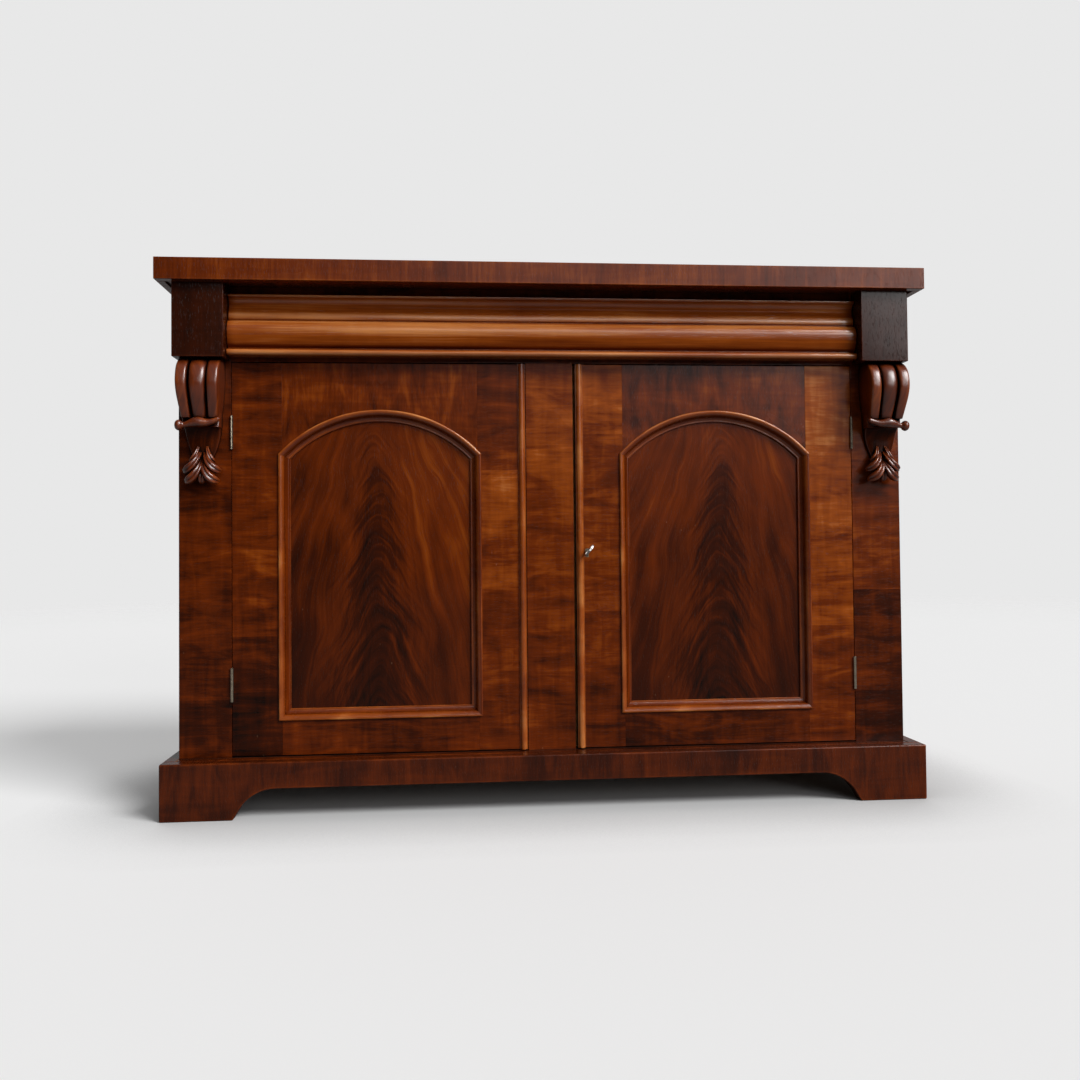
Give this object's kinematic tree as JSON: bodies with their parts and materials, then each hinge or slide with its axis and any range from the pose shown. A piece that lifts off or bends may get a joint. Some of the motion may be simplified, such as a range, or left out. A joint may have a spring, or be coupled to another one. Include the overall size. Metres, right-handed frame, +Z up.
{
  "type": "chiffonier",
  "caption": "Low mahogany cupboard with an ogee frieze drawer, carved corbels, arched panel doors and a cut plinth.",
  "frame": {"origin": "middle of the footprint, on the floor that the plinth stands on", "axes": "+X along the width to the right seen from the front, +Y to the back, +Z up"},
  "size_m": [1.308, 0.445, 0.925],
  "materials": {
    "top_mahogany": "French-polished mahogany, cross-grained on the edge",
    "frame_mahogany": "French-polished figured mahogany veneer",
    "block_mahogany": "dark polished mahogany veneer",
    "carved_mahogany": "polished carved mahogany",
    "plinth_mahogany": "worn polished cross-grained mahogany veneer",
    "flame_mahogany": "French-polished flame mahogany veneer",
    "moulding_mahogany": "worn polished mahogany",
    "drawer_mahogany": "polished straight-grained mahogany",
    "carcass_pine": "bare pine, darkened with age",
    "old_brass": "dull aged brass",
    "steel_pin": "worn steel"
  },
  "bodies": {
    "root": {"top_board": "top_mahogany", "side_right": "frame_mahogany", "side_left": "frame_mahogany", "bottom_board": "carcass_pine", "back_boards": "carcass_pine", "pilaster_right": "frame_mahogany", "pilaster_left": "frame_mahogany", "frieze_block_right": "block_mahogany", "frieze_block_left": "block_mahogany", "corbel_right": "carved_mahogany", "corbel_left": "carved_mahogany", "upper_rail": "frame_mahogany", "lower_rail": "frame_mahogany", "dust_board": "carcass_pine", "drawer_runners": "carcass_pine", "drawer_kickers": "carcass_pine", "centre_muntin": "frame_mahogany", "door_stop": "carcass_pine", "shelf": "carcass_pine", "shelf_bearers": "carcass_pine", "plinth_front": "plinth_mahogany", "plinth_side_right": "plinth_mahogany", "plinth_side_left": "plinth_mahogany", "plinth_back": "carcass_pine", "plinth_ledge": "plinth_mahogany", "plinth_blocks": "carcass_pine", "hinge_frame_leaves": "old_brass", "hinge_pins": "steel_pin"},
    "drawer": {"drawer_front": "drawer_mahogany", "drawer_side_right": "carcass_pine", "drawer_side_left": "carcass_pine", "drawer_back": "carcass_pine", "drawer_bottoms": "carcass_pine", "drawer_muntin": "carcass_pine"},
    "left_door": {"left_hinge_stile": "frame_mahogany", "left_closing_stile": "frame_mahogany", "left_top_rail": "frame_mahogany", "left_bottom_rail": "frame_mahogany", "left_panel": "flame_mahogany", "left_arch_moulding": "moulding_mahogany", "left_straight_mouldings": "moulding_mahogany", "left_astragal": "moulding_mahogany", "left_hinge_leaves": "old_brass", "left_bolt_cases": "old_brass"},
    "right_door": {"right_hinge_stile": "frame_mahogany", "right_closing_stile": "frame_mahogany", "right_top_rail": "frame_mahogany", "right_bottom_rail": "frame_mahogany", "right_panel": "flame_mahogany", "right_arch_moulding": "moulding_mahogany", "right_straight_mouldings": "moulding_mahogany", "right_astragal": "moulding_mahogany", "right_hinge_leaves": "old_brass", "lock_case": "old_brass", "escutcheon": "old_brass"},
    "key": {"key": "old_brass"},
    "lock_bolt": {"lock_bolt": "steel_pin"},
    "upper_bolt": {"left_upper_bolt": "old_brass"},
    "lower_bolt": {"left_lower_bolt": "old_brass"}
  },
  "joints": [
    {"name": "drawer_slide", "type": "slide", "parent": "root", "child": "drawer", "axis": [0, -1, 0], "range_m": [0, 0.27]},
    {"name": "left_door_hinge", "type": "hinge", "parent": "root", "child": "left_door", "pos_m": [-0.5415, -0.1645, 0.43], "axis": [0, 0, -1], "range_deg": [0, 100]},
    {"name": "right_door_hinge", "type": "hinge", "parent": "root", "child": "right_door", "pos_m": [0.5415, -0.1645, 0.43], "axis": [0, 0, 1], "range_deg": [0, 100]},
    {"name": "key_turn", "type": "hinge", "parent": "right_door", "child": "key", "pos_m": [0.0645, -0.1625, 0.437], "axis": [0, 1, 0], "range_deg": [-270, 0]},
    {"name": "lock_bolt_slide", "type": "slide", "parent": "right_door", "child": "lock_bolt", "axis": [-1, 0, 0], "range_m": [0, 0.0105]},
    {"name": "left_upper_bolt_slide", "type": "slide", "parent": "left_door", "child": "upper_bolt", "axis": [0, 0, 1], "range_m": [0, 0.01]},
    {"name": "left_lower_bolt_slide", "type": "slide", "parent": "left_door", "child": "lower_bolt", "axis": [0, 0, -1], "range_m": [0, 0.01]}
  ],
  "couplings": [
    {"joint": "lock_bolt_slide", "follows": "key_turn", "m_per_rad": -0.0022282}
  ]
}
